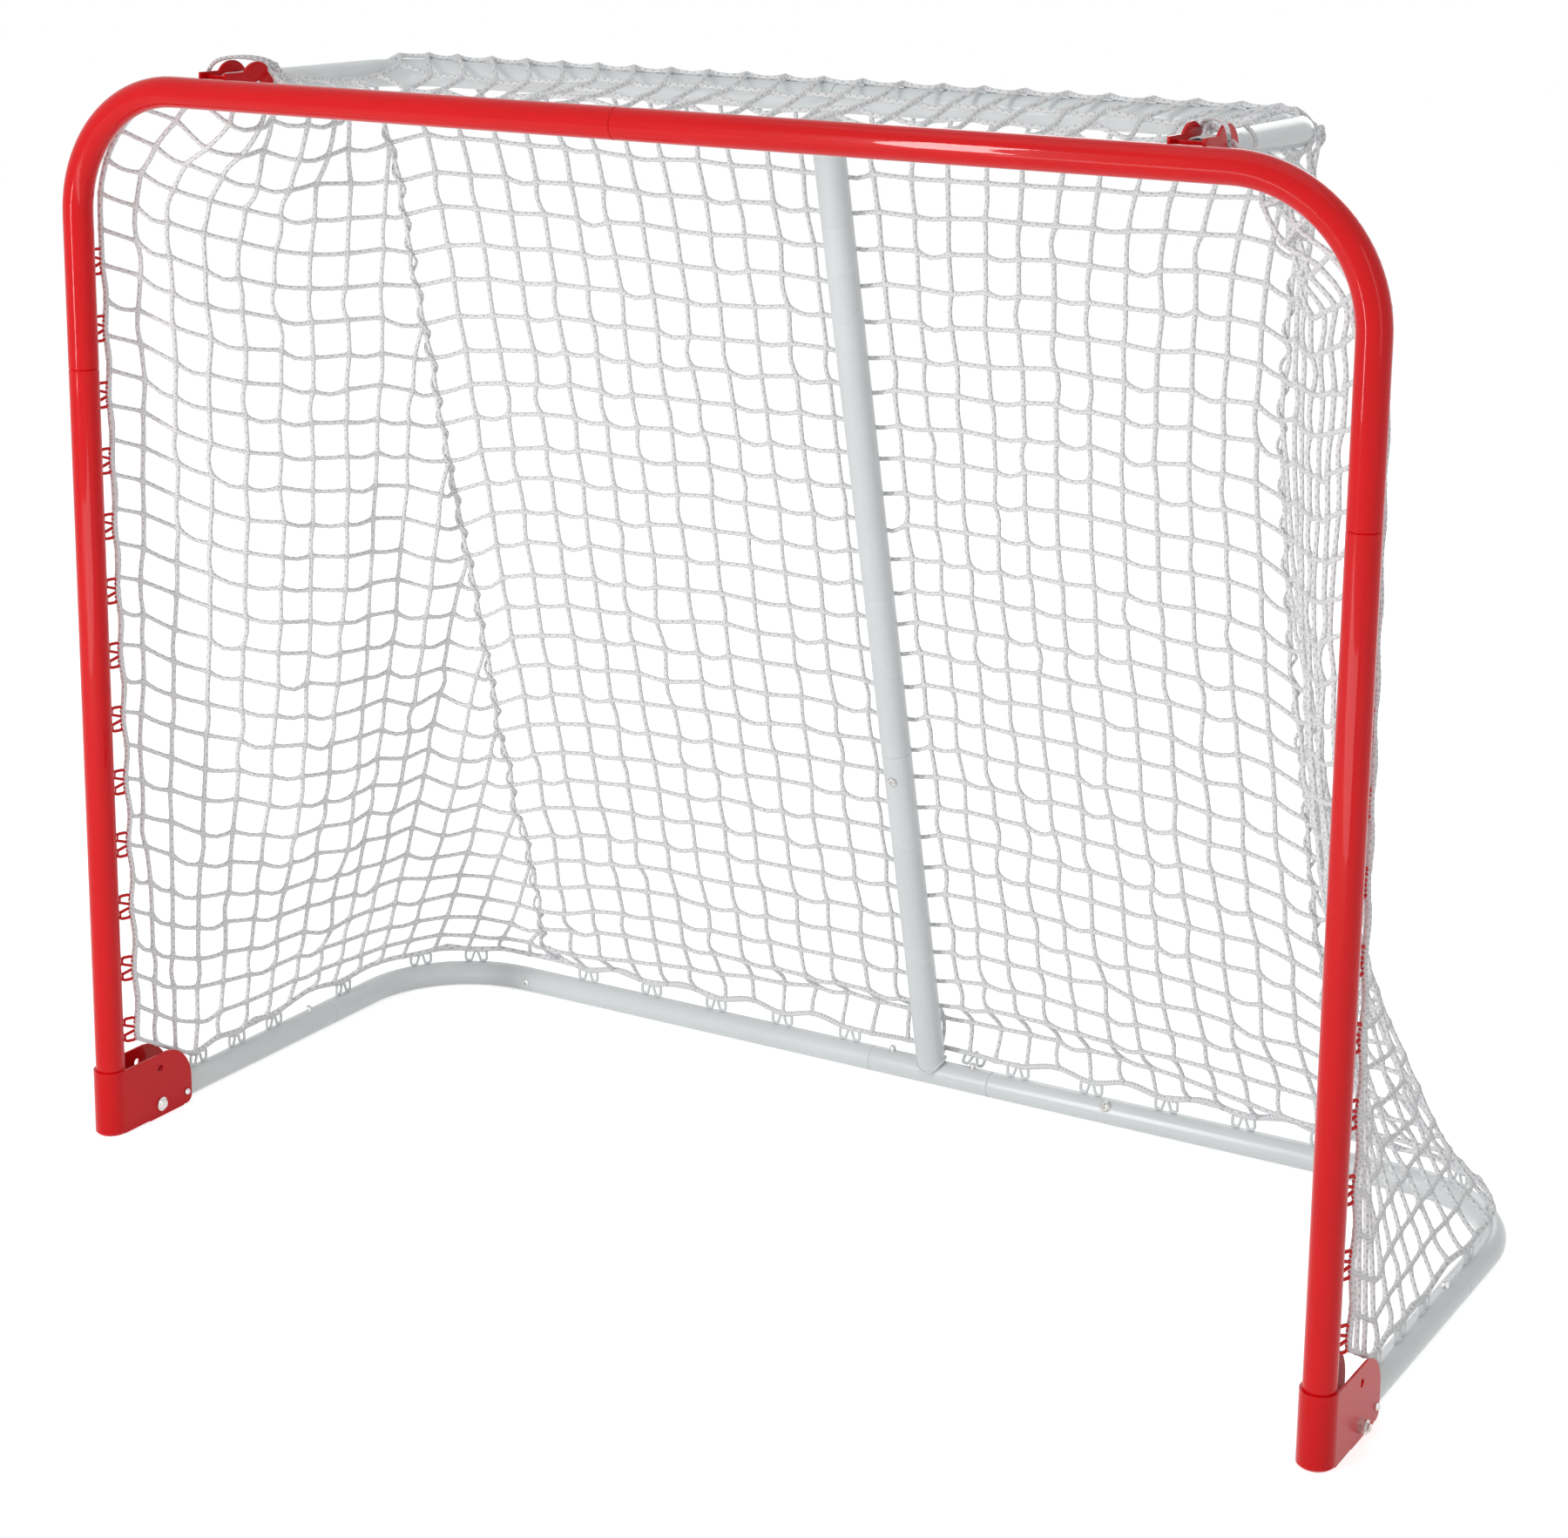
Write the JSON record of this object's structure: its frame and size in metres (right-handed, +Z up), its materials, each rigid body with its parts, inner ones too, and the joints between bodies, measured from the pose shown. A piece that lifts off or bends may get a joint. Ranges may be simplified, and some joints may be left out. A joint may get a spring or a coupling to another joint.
{
  "type": "hockey goal net",
  "caption": "Steel tube hockey goal with a fold-up base, top shelf, centre pole, spring snap buttons and a knotted twine net on wire hooks.",
  "frame": {"origin": "on the floor under the middle of everything", "axes": "+X along the crossbar, +Y to the back of the goal, +Z up"},
  "size_m": [1.4038, 0.6126, 1.124],
  "materials": {
    "red_paint": "gloss",
    "white_paint": "satin",
    "plated_steel": "bright",
    "spring_steel": "satin",
    "twine": "matte"
  },
  "bodies": {
    "front_frame": {"corner_tube_left": "red_paint", "corner_tube_right": "red_paint", "lower_post_left": "red_paint", "lower_post_right": "red_paint", "foot_bracket_left": "red_paint", "foot_bracket_right": "red_paint", "pivot_bolts": "plated_steel", "pivot_nuts": "plated_steel", "shelf_bracket_left": "red_paint", "shelf_bracket_right": "red_paint", "shelf_tube": "white_paint", "shelf_bolts": "plated_steel", "shelf_nuts": "plated_steel", "post_hooks_left": "red_paint", "post_hooks_right": "red_paint", "crossbar_hooks": "red_paint", "net_top": "twine", "net_rear": "twine", "net_left": "twine", "net_right": "twine"},
    "base_frame": {"side_tube_left": "white_paint", "side_tube_right": "white_paint", "rear_corner_left": "white_paint", "rear_corner_right": "white_paint", "rear_tee": "white_paint", "base_hooks_left": "white_paint", "base_hooks_right": "white_paint", "tee_hooks": "white_paint", "rear_screw_left": "plated_steel", "rear_screw_right": "plated_steel", "snap_springs": "spring_steel"},
    "center_pole": {"pole_lower": "white_paint", "pole_upper": "white_paint", "pole_sleeve": "white_paint", "pole_screw": "plated_steel"},
    "tee_button_left": {"tee_button_left": "plated_steel"},
    "tee_button_right": {"tee_button_right": "plated_steel"},
    "side_button_left": {"side_button_left": "plated_steel"},
    "side_button_right": {"side_button_right": "plated_steel"},
    "lock_button_left_inner": {"lock_button_left_inner": "plated_steel"},
    "lock_button_left_outer": {"lock_button_left_outer": "plated_steel"},
    "lock_button_right_inner": {"lock_button_right_inner": "plated_steel"},
    "lock_button_right_outer": {"lock_button_right_outer": "plated_steel"}
  },
  "joints": [
    {"name": "base_fold", "type": "hinge", "parent": "front_frame", "child": "base_frame", "pos_m": [0, -0.2318, 0.014], "axis": [1, 0, 0], "range_deg": [0, 90], "deforming": ["net_rear", "net_left", "net_right", "lock_button_left_inner", "lock_button_left_outer", "lock_button_right_inner", "lock_button_right_outer"]},
    {"name": "pole_swing", "type": "hinge", "parent": "front_frame", "child": "center_pole", "pos_m": [0, 0.0112, 1.1], "axis": [1, 0, 0], "range_deg": [-45, 0]},
    {"name": "tee_button_left_press", "type": "slide", "parent": "base_frame", "child": "tee_button_left", "axis": [0, 0, -1], "range_m": [0, 0.008], "stiffness_N_per_m": 1500, "deforming": ["snap_springs"]},
    {"name": "tee_button_right_press", "type": "slide", "parent": "base_frame", "child": "tee_button_right", "axis": [0, 0, -1], "range_m": [0, 0.008], "stiffness_N_per_m": 1500, "deforming": ["snap_springs"]},
    {"name": "side_button_left_press", "type": "slide", "parent": "base_frame", "child": "side_button_left", "axis": [0, 0, -1], "range_m": [0, 0.008], "stiffness_N_per_m": 1500, "deforming": ["snap_springs"]},
    {"name": "side_button_right_press", "type": "slide", "parent": "base_frame", "child": "side_button_right", "axis": [0, 0, -1], "range_m": [0, 0.008], "stiffness_N_per_m": 1500, "deforming": ["snap_springs"]},
    {"name": "lock_button_left_inner_press", "type": "slide", "parent": "base_frame", "child": "lock_button_left_inner", "axis": [-1, 0, 0], "range_m": [0, 0.0065], "stiffness_N_per_m": 1500, "deforming": ["snap_springs"]},
    {"name": "lock_button_left_outer_press", "type": "slide", "parent": "base_frame", "child": "lock_button_left_outer", "axis": [1, 0, 0], "range_m": [0, 0.0065], "stiffness_N_per_m": 1500, "deforming": ["snap_springs"]},
    {"name": "lock_button_right_inner_press", "type": "slide", "parent": "base_frame", "child": "lock_button_right_inner", "axis": [1, 0, 0], "range_m": [0, 0.0065], "stiffness_N_per_m": 1500, "deforming": ["snap_springs"]},
    {"name": "lock_button_right_outer_press", "type": "slide", "parent": "base_frame", "child": "lock_button_right_outer", "axis": [-1, 0, 0], "range_m": [0, 0.0065], "stiffness_N_per_m": 1500, "deforming": ["snap_springs"]}
  ],
  "couplings": [
    {"joint": "pole_swing", "follows": "base_fold", "ratio": -0.5}
  ]
}
